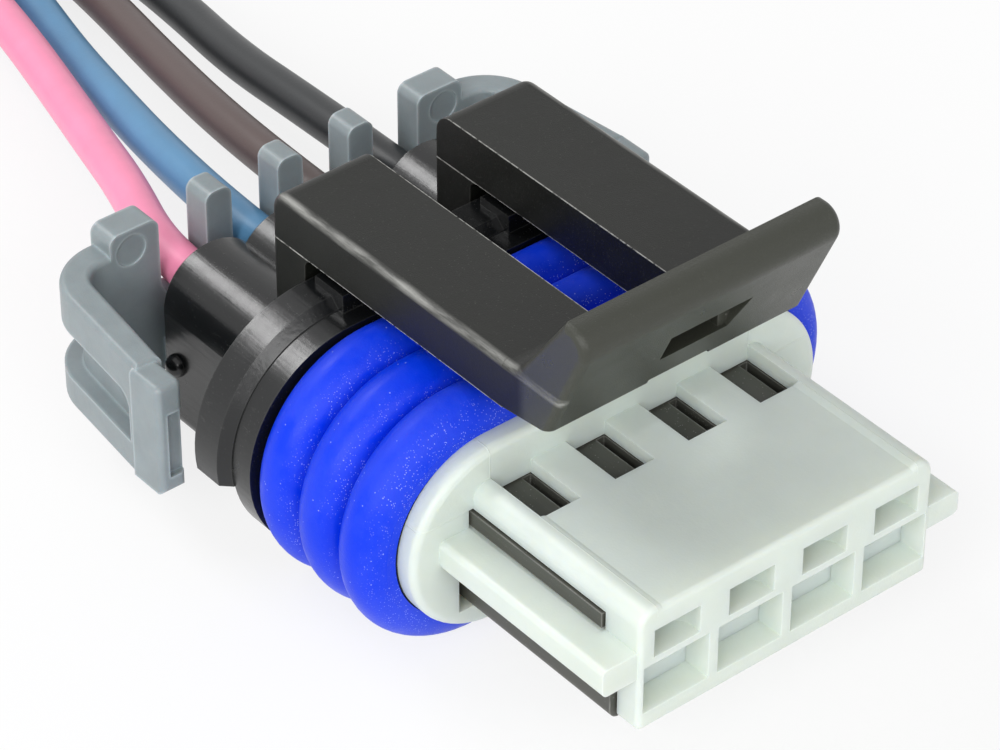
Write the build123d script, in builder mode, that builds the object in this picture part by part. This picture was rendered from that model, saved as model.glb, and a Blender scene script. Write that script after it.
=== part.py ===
import os
from math import cos, degrees, pi, radians, sin, sqrt, tan

from build123d import *

# A four-way sealed connector with its pigtail of four coloured leads.
# Sizes are in millimetres. X runs across the ways, Y from the nose back to the leads and Z is up.
# The origin is on the resting surface, under the middle of the connector.
# Heights in the outlines are taken from the mid plane of the seal, and distances from the nose's face.

os.makedirs("parts", exist_ok=True)

# Whole connector
way_count = 4
pitch = 4.0
overall_length = 34.8
fit_gap = 0.1
motion_gap = 0.3

# Nose, the pale front shell
nose_height = 6.2
nose_length = 10.5
nose_side_wall = 0.45
nose_top_wall = 0.8
nose_bottom_wall = 0.65
nose_front_depth = 1.5
nose_edge_radius = 0.25
ridge_radius = 0.8
ridge_rise = 0.12
nose_flange_thickness = 1.0
nose_flange_radius = 4.6
nose_flange_reach = 0.6
nose_flange_edge = 0.35
mouth_width = 3.5
mouth_height = 2.4
mouth_height_offset = -1.0
mouth_taper = 8.0
probe_width = 2.45
probe_height = 1.4
probe_height_offset = 1.25
probe_curve = 1.1
window_width = 2.14
window_length = 3.2
wing_reach = 1.8
wing_start = 0.15
wing_radius = 0.3
left_wing_low = -0.35
right_wing_low = -0.93
left_wing_height = 1.4
right_wing_height = 1.22
slot_low = 1.0
slot_height = 0.95
slot_start = 2.1
lower_bar_start = 1.3
lower_bar_inset = 1.1
lower_bar_proud = 0.3
lower_bar_bottom = -3.2
lower_bar_radius = 0.5
bar_proud = 0.12
flange_notch = 0.45

# Seal, three round ribs about a flat oval
seal_radius = 6.1
seal_reach = 0.8
seal_bore_radius = 4.5
rib_count = 3
rib_pitch = 2.7
rib_radius = 1.3
seal_web_radius = 4.95

# Black housing
hub_length = 1.3
hub_radius = 5.6
flange_radius = 6.1
flange_reach = 1.1
flange_thickness = 2.0
flange_chamfer = 0.45
flange_end_cut_width = 9.0
flange_end_cut_height = -1.0
tower_radius = 2.6
tower_height_offset = 0.2
tower_edge = 0.3
tower_edge_angle = 45.0
skirt_bottom = -5.9
skirt_wall = 1.0
skirt_radius = 0.8
skirt_pocket_floor = 1.4
skirt_pocket_top = -2.7
nub_radius = 0.55
nub_height = -2.3
nub_setback = 1.1
cavity_width = 2.3
cavity_low = -2.1
cavity_high = 0.4
cavity_end = 12.2
lance_channel_width = 1.4
lance_channel_high = 1.5
channel_end = 9.2
window_groove_width = 0.45
window_groove_depth = 0.6
lead_passage_radius = 1.45
seal_bore_depth = 7.0

# Latch
arm_inner = 2.1
arm_width = 4.8
arm_top = 9.4
arm_thickness = 2.4
arm_front = 10.0
leg_thickness = 2.3
leg_corner_radius = 1.0
arm_corner_radius = 0.5
arm_edge_radius = 0.35
pivot_height = 5.0
foot_radius = 1.6
stop_setback = 0.4
stop_length = 1.9
stop_top = 6.5
tab_bottom_rear = 10.3
tab_bottom_front = 7.1
tab_bottom_height = 7.4
tab_top_front = 4.4
tab_top = 13.4
tab_top_rear = 6.3
tab_foot_rear = 9.1
tab_front_radius = 1.0
tab_edge = 0.4
tab_cove = 1.4
catch_width = 3.3
catch_window_low = 9.0
catch_window_high = 10.5
catch_window_rear = 8.2
catch_step_rear = 7.55
catch_recess_height = 0.6
catch_pocket_front = 8.0
catch_pocket_top = 8.5
catch_groove_width = 1.1
catch_groove_foot = 0.35
catch_groove_station = 6.6

# Rear lock
lock_travel = 1.3
lock_stop_gap = 0.4
lock_front_half_width = 13.7
lock_rear_half_width = 12.75
lock_arm_thickness = 1.35
lock_plate_thickness = 1.5
lock_top = 2.6
lock_bottom = -4.8
lock_arm_bottom = -3.55
lock_corner_radius = 3.0
lock_inner_radius = 1.2
lock_edge_radius = 0.3
lock_recess_setback = 0.8
lock_recess_high = 0.62
lock_recess_low = -1.9
lock_recess_depth = 0.8
lock_recess_radius = 0.8
lock_bar_depth = 1.7
lock_bar_proud = 0.15
lock_bar_top = 2.45
lock_bar_bottom = -3.3
lock_bar_overlap = 0.3
lock_pad_inset = 0.5
lock_pad_high = 0.9
lock_pad_low = -2.5
lock_pad_depth = 0.3
finger_top = 3.6
finger_outer = 9.9
finger_radius = 0.5
finger_radius_share = 0.4
ejector_radius = 0.8
ejector_depth = 0.08
ejector_setback = 1.1
tongue_room = 3.3

# Terminals
box_width = 2.1
box_height = 2.1
box_length = 6.4
box_start = 3.4
sheet = 0.25
strip_share = 0.8
neck_length = 2.6
neck_width = 1.3
wire_crimp_length = 2.6
crimp_spacing = 0.9
jacket_crimp_length = 2.4
crimp_opening = 0.2
leaf_rise = 0.7
lance_length = 2.0
lance_rise = 0.7
lance_width = 0.8

# Leads
lead_radius = 1.0
conductor_radius = 0.55
lead_length = 150.0
bare_length = 5.0
cable_seal_length = 5.0
cable_seal_rib = 0.35
cable_seal_setback = 0.8
cable_seal_bore_share = 0.565
lead_straight = 3.6
bend_share = 0.45
route_share = 1.045
lead_names = ["pink", "blue", "brown", "black"]

# Coil of the leads' far length
coil_x = -5.2
coil_station = 80.0
coil_inner_track = 9.5
coil_track_step = 2.1
coil_floor_gap = 0.5
coil_layer = 2.05
meet_shift = 0.05
coil_step_angle = 300.0
tie_thickness = 0.5
tie_width = 2.4
tie_angles = [40.0, 205.0]

# Places that follow from the sizes
front_y = -overall_length / 2
mid_z = max(seal_radius, flange_radius)
way_x = [(index - (way_count - 1) / 2) * pitch for index in range(way_count)]
seal_front = nose_length + nose_flange_thickness
seal_length = rib_pitch * (rib_count - 1) + 2 * rib_radius
hub_front = seal_front + seal_length
flange_front = hub_front + hub_length
tower_front = flange_front + flange_thickness
lock_plate_rear = overall_length
lock_plate_front = lock_plate_rear - lock_plate_thickness
tower_end = lock_plate_front - lock_travel - lock_stop_gap
tower_length = tower_end - tower_front
skirt_pocket_depth = tower_length - skirt_pocket_floor
nose_width = way_count * pitch
half_nose = nose_width / 2
nose_flange_centre = way_x[-1] + nose_flange_reach
seal_centre = way_x[-1] + seal_reach
flange_centre = way_x[-1] + flange_reach
lower_bar_inner = half_nose - lower_bar_inset
lower_bar_outer = half_nose + lower_bar_proud
core_half_width = half_nose - nose_side_wall - fit_gap
slot_inner = core_half_width - 2 * fit_gap
bar_outer = half_nose + bar_proud
slot_outer = bar_outer + fit_gap
core_top = nose_height / 2 - nose_top_wall - fit_gap
core_bottom = -nose_height / 2 + nose_bottom_wall + fit_gap
leg_front = tower_front + motion_gap
pivot_station = leg_front + leg_thickness / 2
stop_front = tower_front - stop_setback - stop_length
lock_bar_front = tower_front + lock_travel + lock_stop_gap
lock_arm_front = lock_bar_front + lock_bar_depth
tower_side = way_x[-1] + tower_radius


def across(station):
    """Plane square to the connector's length, facing the nose end, with X and the height as its axes."""
    return Plane(origin=(0, front_y + station, mid_z), x_dir=(1, 0, 0), z_dir=(0, -1, 0))


def side(x):
    """Upright plane along the connector at x, with the station and the height as its axes."""
    return Plane(origin=(x, front_y, mid_z), x_dir=(0, 1, 0), z_dir=(1, 0, 0))


def level(height):
    """Flat plane at a height from the mid plane, with X and the station as its axes."""
    return Plane(origin=(0, front_y, mid_z + height))


def box_between(low, high):
    """Box with its corners at (x, station, height) low and high, added by the caller."""
    size = [high[axis] - low[axis] for axis in range(3)]
    middle = [(high[axis] + low[axis]) / 2 for axis in range(3)]
    place = Location((middle[0], front_y + middle[1], mid_z + middle[2]))
    return place * Box(*size, mode=Mode.PRIVATE)


def save(part, name):
    """Label a finished piece and write it to its own file."""
    part.label = name
    export_step(part, f"parts/{name}.step")


# Nose: a shell with a mouth and a probe hole for each way, a keyed wing at each side and a flange
with BuildPart() as nose:
    with BuildSketch(across(seal_front)):
        SlotCenterToCenter(2 * nose_flange_centre, 2 * nose_flange_radius)
    extrude(amount=nose_flange_thickness)
    fillet(nose.faces().sort_by(Axis.Y)[0].edges(), nose_flange_edge)
    with BuildSketch(across(nose_length)):
        Rectangle(nose_width, nose_height - 2 * ridge_radius)
        Rectangle(nose_width - 2 * ridge_radius, nose_height - 2 * ridge_rise)
        with Locations((half_nose - ridge_radius, nose_height / 2 - ridge_radius),
                       (ridge_radius - half_nose, nose_height / 2 - ridge_radius)):
            Circle(ridge_radius)
        with Locations((0, -nose_height / 4)):
            RectangleRounded(nose_width, nose_height / 2, nose_edge_radius)
    extrude(amount=nose_length)
    fillet(nose.faces().sort_by(Axis.Y)[0].outer_wire().edges(), nose_edge_radius)
    for x_sign, wing_low, wing_height in ((-1, left_wing_low, left_wing_height),
                                          (1, right_wing_low, right_wing_height)):
        with BuildSketch(across(nose_length + fit_gap)):
            with Locations((x_sign * half_nose, wing_low + wing_height / 2)):
                RectangleRounded(2 * wing_reach, wing_height, wing_radius)
        extrude(amount=nose_length + fit_gap - wing_start)
    with BuildSketch(across(seal_front)):
        with Locations((0, (core_top + core_bottom) / 2)):
            Rectangle(2 * (core_half_width + fit_gap), core_top - core_bottom + 2 * fit_gap)
    extrude(amount=seal_front - nose_front_depth, mode=Mode.SUBTRACT)
    mouth_shrink = 2 * nose_front_depth * tan(radians(mouth_taper))
    with BuildSketch(across(nose_front_depth)):
        with Locations(*[(x, mouth_height_offset) for x in way_x]):
            Rectangle(mouth_width - mouth_shrink, mouth_height - mouth_shrink)
    extrude(amount=nose_front_depth, taper=-mouth_taper, mode=Mode.SUBTRACT)
    curve_station = nose_front_depth - probe_curve
    for x in way_x:
        with BuildSketch(level(probe_height_offset - probe_height / 2)):
            with Locations((x, curve_station / 2)):
                Rectangle(probe_width, curve_station)
            with Locations((x + probe_width / 2 - probe_curve, curve_station)):
                Circle(probe_curve)
            with Locations((x - probe_curve / 2, nose_front_depth / 2)):
                Rectangle(probe_width - probe_curve, nose_front_depth)
        extrude(amount=probe_height, mode=Mode.SUBTRACT)
    with BuildSketch(level(core_top)):
        with Locations(*[(x, nose_length - window_length / 2) for x in way_x]):
            Rectangle(window_width, window_length)
    extrude(amount=nose_height, mode=Mode.SUBTRACT)
    for x_sign, wing_low in ((-1, left_wing_low), (1, right_wing_low)):
        with BuildSketch(level(slot_low)):
            with Locations((x_sign * (slot_inner + slot_outer) / 2, (slot_start + seal_front) / 2)):
                Rectangle(slot_outer - slot_inner, seal_front - slot_start)
        extrude(amount=slot_height, mode=Mode.SUBTRACT)
        lower_cut_inner = x_sign * (lower_bar_inner - fit_gap)
        lower_cut_outer = x_sign * (lower_bar_outer + flange_notch)
        lower_slot = box_between(
            (min(lower_cut_inner, lower_cut_outer), lower_bar_start, lower_bar_bottom - fit_gap),
            (max(lower_cut_inner, lower_cut_outer), seal_front, wing_low))
        add(lower_slot, mode=Mode.SUBTRACT)
save(nose.part, "nose")


# Seal: ribs as round bars about the flat oval, on a thin web
with BuildPart() as seal:
    rib_stations = [seal_front + rib_radius + index * rib_pitch for index in range(rib_count)]
    with BuildSketch(side(0)) as seal_section:
        with Locations((seal_front + seal_length / 2, (seal_web_radius + seal_bore_radius) / 2)):
            Rectangle(seal_length, seal_web_radius - seal_bore_radius)
        with Locations(*[(station, seal_radius - rib_radius) for station in rib_stations]):
            Circle(rib_radius)
        with Locations((seal_front + seal_length / 2, seal_bore_radius / 2)):
            Rectangle(seal_length, seal_bore_radius, mode=Mode.SUBTRACT)
    extrude(amount=seal_centre)
    mirror(about=Plane.XY.offset(mid_z))
    with BuildSketch(side(seal_centre)) as end_section:
        add(seal_section.sketch_local)
    end_axis = Axis((seal_centre, 0, mid_z), (0, 1, 0))
    revolve(axis=end_axis, revolution_arc=180)
    mirror(about=Plane.YZ)
save(seal.part, "interface_seal")


# Housing: the core in the nose, the seal's land, hub and flange, and a tower for each lead
with BuildPart() as housing:
    with BuildSketch(across(seal_front)):
        with Locations((0, (core_top + core_bottom) / 2)):
            Rectangle(2 * core_half_width, core_top - core_bottom)
    extrude(amount=seal_front - nose_front_depth - fit_gap)
    for x_sign, wing_low in ((-1, left_wing_low), (1, right_wing_low)):
        with BuildSketch(level(slot_low + fit_gap)):
            upper_bar_length = seal_front - slot_start - fit_gap
            upper_bar_width = bar_outer - slot_inner - fit_gap
            with Locations((x_sign * (bar_outer - upper_bar_width / 2), seal_front - upper_bar_length / 2)):
                Rectangle(upper_bar_width, upper_bar_length)
        extrude(amount=slot_height - 2 * fit_gap)
        lower_bar_top = wing_low - fit_gap
        bar_middle = x_sign * (lower_bar_inner + lower_bar_outer) / 2
        with BuildSketch(across(seal_front)):
            with Locations((bar_middle, (lower_bar_top + lower_bar_bottom) / 2)):
                RectangleRounded(lower_bar_outer - lower_bar_inner, lower_bar_top - lower_bar_bottom,
                                 lower_bar_radius)
        extrude(amount=seal_front - lower_bar_start - fit_gap)
    with BuildSketch(across(hub_front + fit_gap)):
        SlotCenterToCenter(2 * seal_centre, 2 * (seal_bore_radius - fit_gap / 2))
    extrude(amount=seal_length + fit_gap)
    with BuildSketch(across(flange_front)):
        SlotCenterToCenter(2 * flange_centre, 2 * hub_radius)
    extrude(amount=hub_length - fit_gap)
    with BuildSketch(across(tower_front)):
        SlotCenterToCenter(2 * flange_centre, 2 * flange_radius)
    extrude(amount=flange_thickness)
    flange_rims = housing.edges().filter_by_position(Axis.Y, front_y + flange_front, front_y + flange_front)
    chamfer(flange_rims.group_by(SortBy.LENGTH)[-1], flange_chamfer)
    for x_sign in (-1, 1):
        end_cut_low = min(x_sign * flange_end_cut_width, x_sign * 2 * flange_end_cut_width)
        end_cut = box_between((end_cut_low, flange_front, -2 * flange_radius),
                              (end_cut_low + flange_end_cut_width, tower_front, flange_end_cut_height))
        add(end_cut, mode=Mode.SUBTRACT)
    with BuildSketch(across(tower_end - tower_edge)):
        with Locations(*[(x, tower_height_offset) for x in way_x]):
            Circle(tower_radius)
        with Locations((0, (tower_height_offset + skirt_bottom) / 2)):
            Rectangle(2 * tower_side, tower_height_offset - skirt_bottom)
        fillet(vertices().group_by(Axis.Y)[0], skirt_radius)
    extrude(amount=tower_length - tower_edge)
    extrude(housing.faces().sort_by(Axis.Y)[-1], amount=tower_edge, taper=tower_edge_angle)
    with BuildSketch(across(tower_end)):
        with Locations((0, (skirt_pocket_top + skirt_bottom + skirt_wall) / 2)):
            Rectangle(2 * (tower_side - skirt_wall), skirt_pocket_top - skirt_bottom - skirt_wall)
    extrude(amount=skirt_pocket_depth, mode=Mode.SUBTRACT)
    for x_sign in (-1, 1):
        nub_place = (x_sign * tower_side, front_y + tower_end - nub_setback, mid_z + nub_height)
        with Locations(Location(nub_place)):
            Sphere(nub_radius)
    for x in (-arm_inner - arm_width, arm_inner):
        stop = box_between((x, stop_front, 0), (x + arm_width, stop_front + stop_length, stop_top))
        add(stop)
        seat = box_between((x, tower_front, 0),
                           (x + arm_width, leg_front + leg_thickness, pivot_height - fit_gap))
        cradle = Location((x + arm_width / 2, front_y + pivot_station, mid_z + pivot_height), (0, 90, 0))
        cradle_bore = cradle * Cylinder(foot_radius + motion_gap, 2 * arm_width, mode=Mode.PRIVATE)
        add(seat - cradle_bore)
    for x in way_x:
        cavity = box_between((x - cavity_width / 2, nose_front_depth, cavity_low),
                             (x + cavity_width / 2, cavity_end, cavity_high))
        add(cavity, mode=Mode.SUBTRACT)
        channel = box_between((x - lance_channel_width / 2, nose_front_depth, cavity_low),
                              (x + lance_channel_width / 2, channel_end, lance_channel_high))
        add(channel, mode=Mode.SUBTRACT)
        groove_edge = x + window_width / 2
        groove = box_between(
            (groove_edge - window_groove_width, nose_length - window_length, core_top - window_groove_depth),
            (groove_edge, nose_length, core_top))
        add(groove, mode=Mode.SUBTRACT)
    with BuildSketch(across(tower_end)):
        with Locations(*[(x, tower_height_offset) for x in way_x]):
            Circle(lead_passage_radius)
    extrude(amount=tower_end - cavity_end + fit_gap, mode=Mode.SUBTRACT)
    cable_seal_bore = lead_radius + (tower_radius - lead_radius) * cable_seal_bore_share
    with BuildSketch(across(tower_end)):
        with Locations(*[(x, tower_height_offset) for x in way_x]):
            Circle(cable_seal_bore)
    extrude(amount=seal_bore_depth, mode=Mode.SUBTRACT)
save(housing.part, "housing")


# Latch: two arms on rounded feet, joined at the front by the thumb tab with its catch window
arm_underside = arm_top - arm_thickness
foot_edge_height = pivot_height - sqrt(foot_radius ** 2 - (leg_thickness / 2) ** 2)
tab_half_width = arm_inner + arm_width
with BuildPart() as tab:
    with BuildSketch(side(-tab_half_width)):
        with BuildLine():
            Polyline((tab_bottom_rear, arm_underside), (tab_bottom_front, tab_bottom_height),
                     (tab_top_front, tab_top), (tab_top_rear, tab_top), (tab_foot_rear, arm_top),
                     (tab_bottom_rear, arm_top), close=True)
        make_face()
        fillet(vertices().group_by(Axis.Y)[-1].sort_by(Axis.X)[0], tab_front_radius)
        fillet(vertices().sort_by_distance((tab_foot_rear, arm_top))[0], tab_cove)
    extrude(amount=2 * tab_half_width)
    free_z = mid_z + arm_top
    free_y = front_y + tab_bottom_front
    end_edges = tab.faces().filter_by(Axis.X).edges()
    free_edges = end_edges.filter_by(lambda edge: edge.center().Z > free_z or edge.center().Y < free_y)
    fillet(free_edges, tab_edge)
with BuildPart() as latch:
    with BuildSketch(side(arm_inner)):
        with BuildLine():
            foot = ThreePointArc((leg_front, foot_edge_height), (pivot_station, pivot_height - foot_radius),
                                 (leg_front + leg_thickness, foot_edge_height))
            Polyline(foot @ 1, (leg_front + leg_thickness, arm_top), (arm_front, arm_top),
                     (arm_front, arm_underside), (leg_front, arm_underside), foot @ 0)
        make_face()
        fillet(vertices().group_by(Axis.X)[-1].sort_by(Axis.Y)[-1], leg_corner_radius)
        fillet(vertices().group_by(Axis.X)[1].sort_by(Axis.Y)[-1], arm_corner_radius)
    extrude(amount=arm_width)
    outer_face = latch.faces().sort_by(Axis.X)[-1]
    fillet(outer_face.edges().filter_by(Axis.Y).sort_by(Axis.Z)[-1], arm_edge_radius)
    mirror(about=Plane.YZ)
    add(tab.part)
    catch_window = box_between((-catch_width / 2, 0, catch_window_low),
                               (catch_width / 2, catch_window_rear, catch_window_high))
    add(catch_window, mode=Mode.SUBTRACT)
    catch_step = box_between((-catch_width / 2, 0, 0),
                             (catch_width / 2, catch_step_rear, arm_underside + catch_recess_height))
    add(catch_step, mode=Mode.SUBTRACT)
    catch_pocket = box_between((-catch_width / 2, catch_pocket_front, 0),
                               (catch_width / 2, arm_front + tab_edge, catch_pocket_top))
    add(catch_pocket, mode=Mode.SUBTRACT)
    with BuildSketch(across(catch_groove_station)):
        with BuildLine():
            Polyline((catch_width / 2, catch_window_low), (catch_width / 2, catch_window_high),
                     (catch_width / 2 + catch_groove_width, catch_window_high),
                     (catch_width / 2 + catch_groove_foot, catch_window_low), close=True)
        make_face()
    extrude(amount=catch_groove_station, mode=Mode.SUBTRACT)
save(latch.part, "latch")


# Recess round each rear corner of the lock, to be cut from it
recess_height = lock_recess_high - lock_recess_low
recess_rear = lock_plate_rear - lock_recess_depth
recess_start = lock_arm_front + lock_recess_setback
with BuildPart() as lock_recess:
    with BuildSketch(level(lock_recess_low)):
        with Locations((-lock_front_half_width, (recess_start + 2 * lock_plate_rear) / 2)):
            Rectangle(2 * (lock_front_half_width - finger_outer), 2 * lock_plate_rear - recess_start)
        with BuildLine():
            core_bend = FilletPolyline((lock_recess_depth - lock_front_half_width, lock_arm_front),
                                       (lock_recess_depth - lock_rear_half_width, recess_rear),
                                       (0, recess_rear), radius=lock_corner_radius - lock_recess_depth)
            Polyline(core_bend @ 1, (0, lock_arm_front), core_bend @ 0)
        make_face(mode=Mode.SUBTRACT)
    extrude(amount=recess_height)
    recess_front = lock_recess.faces().sort_by(Axis.Y)[0]
    fillet(recess_front.edges().sort_by(Axis.Z)[-1], lock_recess_radius)


# Upright bar at the front end of each lock arm
with BuildPart() as lock_bar:
    bar_outside = -lock_front_half_width - lock_bar_proud
    bar_inside = bar_outside + lock_arm_thickness
    add(box_between((bar_outside, lock_bar_front, lock_bar_bottom),
                    (bar_inside, lock_arm_front + lock_bar_overlap, lock_bar_top)))
    bar_front_edges = lock_bar.faces().sort_by(Axis.Y)[0].edges()
    bar_top_edges = lock_bar.faces().sort_by(Axis.Z)[-1].edges().filter_by(Axis.Y)
    fillet(bar_front_edges + bar_top_edges, lock_edge_radius)
    pad_cut = box_between((bar_outside + lock_pad_inset, lock_bar_front, lock_pad_low),
                          (bar_inside, lock_bar_front + lock_pad_depth, lock_pad_high))
    add(pad_cut, mode=Mode.SUBTRACT)


# Rear lock: a comb that drops over the leads, with an arm along each side and a guide tongue below
with BuildPart() as rear_lock:
    inner_front = lock_front_half_width - lock_arm_thickness
    inner_rear = lock_rear_half_width - lock_arm_thickness
    with BuildSketch(level(lock_arm_bottom)):
        with BuildLine():
            outside = FilletPolyline((-lock_front_half_width, lock_arm_front),
                                     (-lock_rear_half_width, lock_plate_rear),
                                     (lock_rear_half_width, lock_plate_rear),
                                     (lock_front_half_width, lock_arm_front), radius=lock_corner_radius)
            inside = FilletPolyline((inner_front, lock_arm_front), (inner_rear, lock_plate_front),
                                    (-inner_rear, lock_plate_front), (-inner_front, lock_arm_front),
                                    radius=lock_inner_radius)
            Line(outside @ 1, inside @ 0)
            Line(inside @ 1, outside @ 0)
        make_face()
    extrude(amount=lock_top - lock_arm_bottom)
    fillet(rear_lock.faces().sort_by(Axis.Z)[-1].edges(), lock_edge_radius)
    fillet(rear_lock.faces().sort_by(Axis.Z)[0].edges(), lock_edge_radius)
    add(box_between((-tower_side, lock_plate_front, lock_bottom), (tower_side, lock_plate_rear, 0)))
    add(box_between((-finger_outer, lock_plate_front, 0), (finger_outer, lock_plate_rear, finger_top)))
    slot_half = lead_radius + motion_gap
    for x in way_x:
        with BuildSketch(across(lock_plate_rear)):
            with Locations((x, tower_height_offset)):
                Circle(slot_half)
            with Locations((x, tower_height_offset + finger_top)):
                Rectangle(2 * slot_half, 2 * finger_top)
        extrude(amount=lock_plate_thickness, mode=Mode.SUBTRACT)
    finger_edges = rear_lock.edges().filter_by(Axis.Y).group_by(Axis.Z)[-1]
    fillet(finger_edges, min(finger_radius, finger_radius_share * (pitch - 2 * slot_half)))
    ejector_x = finger_outer - ejector_setback
    ejector_height = finger_top - ejector_setback
    with BuildSketch(across(lock_plate_front + ejector_depth)):
        with Locations((-ejector_x, ejector_height), (ejector_x, ejector_height)):
            Circle(ejector_radius)
    extrude(amount=ejector_depth, mode=Mode.SUBTRACT)
    add(lock_bar.part)
    add(mirror(lock_bar.part, about=Plane.YZ, mode=Mode.PRIVATE))
    add(lock_recess.part, mode=Mode.SUBTRACT)
    add(mirror(lock_recess.part, about=Plane.YZ, mode=Mode.PRIVATE), mode=Mode.SUBTRACT)
    tongue = box_between(
        (skirt_wall + motion_gap - tower_side, tower_end - skirt_pocket_depth + tongue_room,
         skirt_bottom + skirt_wall + motion_gap),
        (tower_side - skirt_wall - motion_gap, lock_plate_rear, skirt_pocket_top - motion_gap))
    add(tongue)
save(rear_lock.part, "rear_lock")


# Terminals: a folded box with a spring leaf and lance, a neck, and the two crimps
box_low = (cavity_low + cavity_high) / 2 - box_height / 2
box_end = box_start + box_length
wire_crimp_start = box_end + neck_length
wire_crimp_end = wire_crimp_start + wire_crimp_length
jacket_crimp_start = wire_crimp_end + crimp_spacing
jacket_crimp_end = jacket_crimp_start + jacket_crimp_length
wire_crimp_bottom = tower_height_offset - conductor_radius - sheet
jacket_crimp_bottom = tower_height_offset - lead_radius - sheet
box_top = box_low + box_height
strip = strip_share * sheet
leaf_toe = 4 * sheet
slit_depth = 4 * sheet
box_middle = box_start + box_length / 2
for number, x in enumerate(way_x, start=1):
    with BuildPart() as terminal:
        shell = box_between((x - box_width / 2, box_start, box_low),
                            (x + box_width / 2, box_end, box_low + box_height))
        hollow = box_between((x - box_width / 2 + sheet, box_start, box_low + sheet),
                             (x + box_width / 2 - sheet, box_end, box_low + box_height - sheet))
        add(shell - hollow)
        with BuildSketch(side(x - lance_width / 2)):
            with BuildLine():
                leaf_foot = box_low + strip
                leaf_crest = box_low + leaf_rise
                over = ThreePointArc((box_start + sheet, leaf_foot), (box_middle, leaf_crest + sheet),
                                     (box_end - sheet, leaf_foot))
                under = ThreePointArc((box_start + leaf_toe, leaf_foot), (box_middle, leaf_crest),
                                      (box_end - leaf_toe, leaf_foot))
                Line(under @ 0, over @ 0)
                Line(under @ 1, over @ 1)
            make_face()
        extrude(amount=lance_width)
        with BuildSketch(side(x - lance_width / 2)):
            with BuildLine():
                Polyline((box_middle, box_top - sheet), (box_middle, box_top),
                         (box_middle + lance_length, box_top + lance_rise),
                         (box_middle + lance_length, box_top + lance_rise - sheet), close=True)
            make_face()
        extrude(amount=lance_width)
        with BuildSketch(side(x - neck_width / 2)):
            with BuildLine():
                lower_line = [(box_end - sheet, box_low), (box_end, box_low),
                              (wire_crimp_start, wire_crimp_bottom), (wire_crimp_end, wire_crimp_bottom),
                              (jacket_crimp_start, jacket_crimp_bottom),
                              (jacket_crimp_end, jacket_crimp_bottom)]
                upper_line = [(station, height + strip) for station, height in reversed(lower_line)]
                Polyline(*lower_line, *upper_line, close=True)
            make_face()
        extrude(amount=neck_width)
        for start, end, inner in ((wire_crimp_start, wire_crimp_end, conductor_radius),
                                  (jacket_crimp_start, jacket_crimp_end, lead_radius)):
            with BuildSketch(across(end)):
                with Locations((x, tower_height_offset)):
                    Circle(inner + sheet)
            extrude(amount=end - start)
            with BuildSketch(across(end)):
                with Locations((x, tower_height_offset)):
                    Circle(inner)
                with Locations((x, tower_height_offset + inner + sheet)):
                    Rectangle(crimp_opening, slit_depth)
            extrude(amount=end - start, mode=Mode.SUBTRACT)
    save(terminal.part, f"terminal_{number}")


# Cable seals: ribbed rings between each lead and its tower
for number, x in enumerate(way_x, start=1):
    seal_back = tower_end - cable_seal_setback
    rib_height = tower_height_offset + cable_seal_bore - fit_gap / 2 - cable_seal_rib
    with BuildPart() as cable_seal:
        with BuildSketch(side(x)):
            for rib in range(rib_count):
                rib_station = seal_back - cable_seal_length * (rib + 0.5) / rib_count
                with Locations((rib_station, rib_height)):
                    Rectangle(2 * cable_seal_rib, 2 * cable_seal_rib)
            with Locations((seal_back - cable_seal_length / 2,
                            tower_height_offset + (lead_radius + cable_seal_bore - cable_seal_rib) / 2)):
                Rectangle(cable_seal_length, cable_seal_bore - cable_seal_rib - lead_radius - fit_gap / 2)
        revolve(axis=Axis((x, 0, mid_z + tower_height_offset), (0, 1, 0)))
    save(cable_seal.part, f"cable_seal_{number}")


# Leads: points of the routes are (x, station, height above the surface), chosen by eye up to the coil
lead_height = mid_z + tower_height_offset
lead_routes = {
    "pink": [(-3.7, 41.0, 5.5), (-2.2, 45.6, 4.7), (-0.4, 51.2, 3.9), (1.1, 56.4, 3.4), (2.4, 61.4, 2.8)],
    "blue": [(-0.6, 42.6, 5.2), (1.5, 49.8, 3.6), (3.45, 56.0, 2.1), (5.1, 61.8, 1.6)],
    "brown": [(3.1, 42.8, 5.3), (5.0, 50.2, 3.8), (6.9, 57.2, 2.5), (8.0, 62.8, 1.8)],
    "black": [(6.7, 41.6, 5.4), (7.6, 47.8, 4.2), (9.2, 54.6, 3.0), (10.3, 60.6, 2.0)],
}
coil_height = coil_floor_gap + lead_radius
coil_inner_radius = coil_inner_track - coil_track_step / 2
coil_outer_radius = coil_inner_radius + coil_track_step * way_count
straight_start = tower_end + lead_straight
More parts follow.
